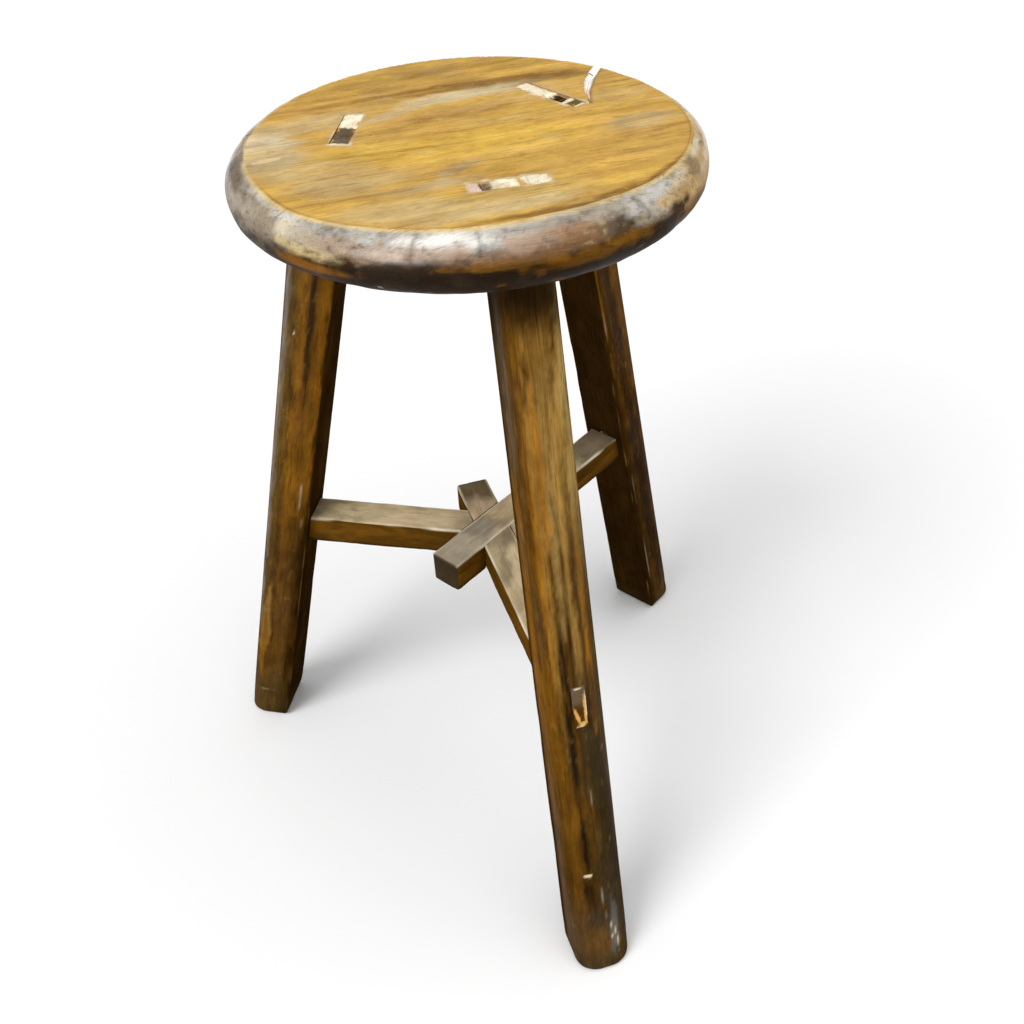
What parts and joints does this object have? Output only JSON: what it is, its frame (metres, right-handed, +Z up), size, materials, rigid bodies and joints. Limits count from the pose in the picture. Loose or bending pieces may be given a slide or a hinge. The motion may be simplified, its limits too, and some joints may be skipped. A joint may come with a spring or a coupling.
{
  "type": "stool",
  "caption": "Backless wooden stool: thick round seat with a rounded rim, splayed legs tenoned and wedged through it, and stretchers that lap across each other under the seat.",
  "frame": {"origin": "middle of the stool's footprint, on the floor; the seat's own axis stands 2 mm to +X and 48 mm to +Y of it, because the single front leg reaches further than the two rear ones", "axes": "+Z up, square to the seat's top; the front leg points along -Y, and the left and right legs stand behind it towards -X and +X"},
  "size_m": [0.4143, 0.3854, 0.542],
  "materials": {
    "seat_wood": "honey-brown wood, worn lacquer with a soft sheen, dark grey-brown at the rim",
    "leg_wood": "dark brown stained wood, rubbed through to amber along the grain, semi-gloss",
    "stretcher_wood": "brown wood, dusty grey-beige where feet have worn the top, satin",
    "pale_wood": "bare cream-coloured wood, dull"
  },
  "bodies": {
    "root": {"seat": "seat_wood", "leg_left": "leg_wood", "leg_right": "leg_wood", "leg_front": "leg_wood", "stretcher_left": "stretcher_wood", "stretcher_right": "stretcher_wood", "stretcher_front": "stretcher_wood", "stretcher_wedge_left": "pale_wood", "stretcher_wedge_right": "pale_wood", "stretcher_wedge_front": "pale_wood", "seat_wedge_left_rear": "pale_wood", "seat_wedge_left_near": "pale_wood", "seat_wedge_right_near": "pale_wood", "seat_wedge_right_rear": "pale_wood", "seat_wedge_front_left": "pale_wood", "seat_wedge_front_right": "pale_wood"}
  },
  "joints": []
}
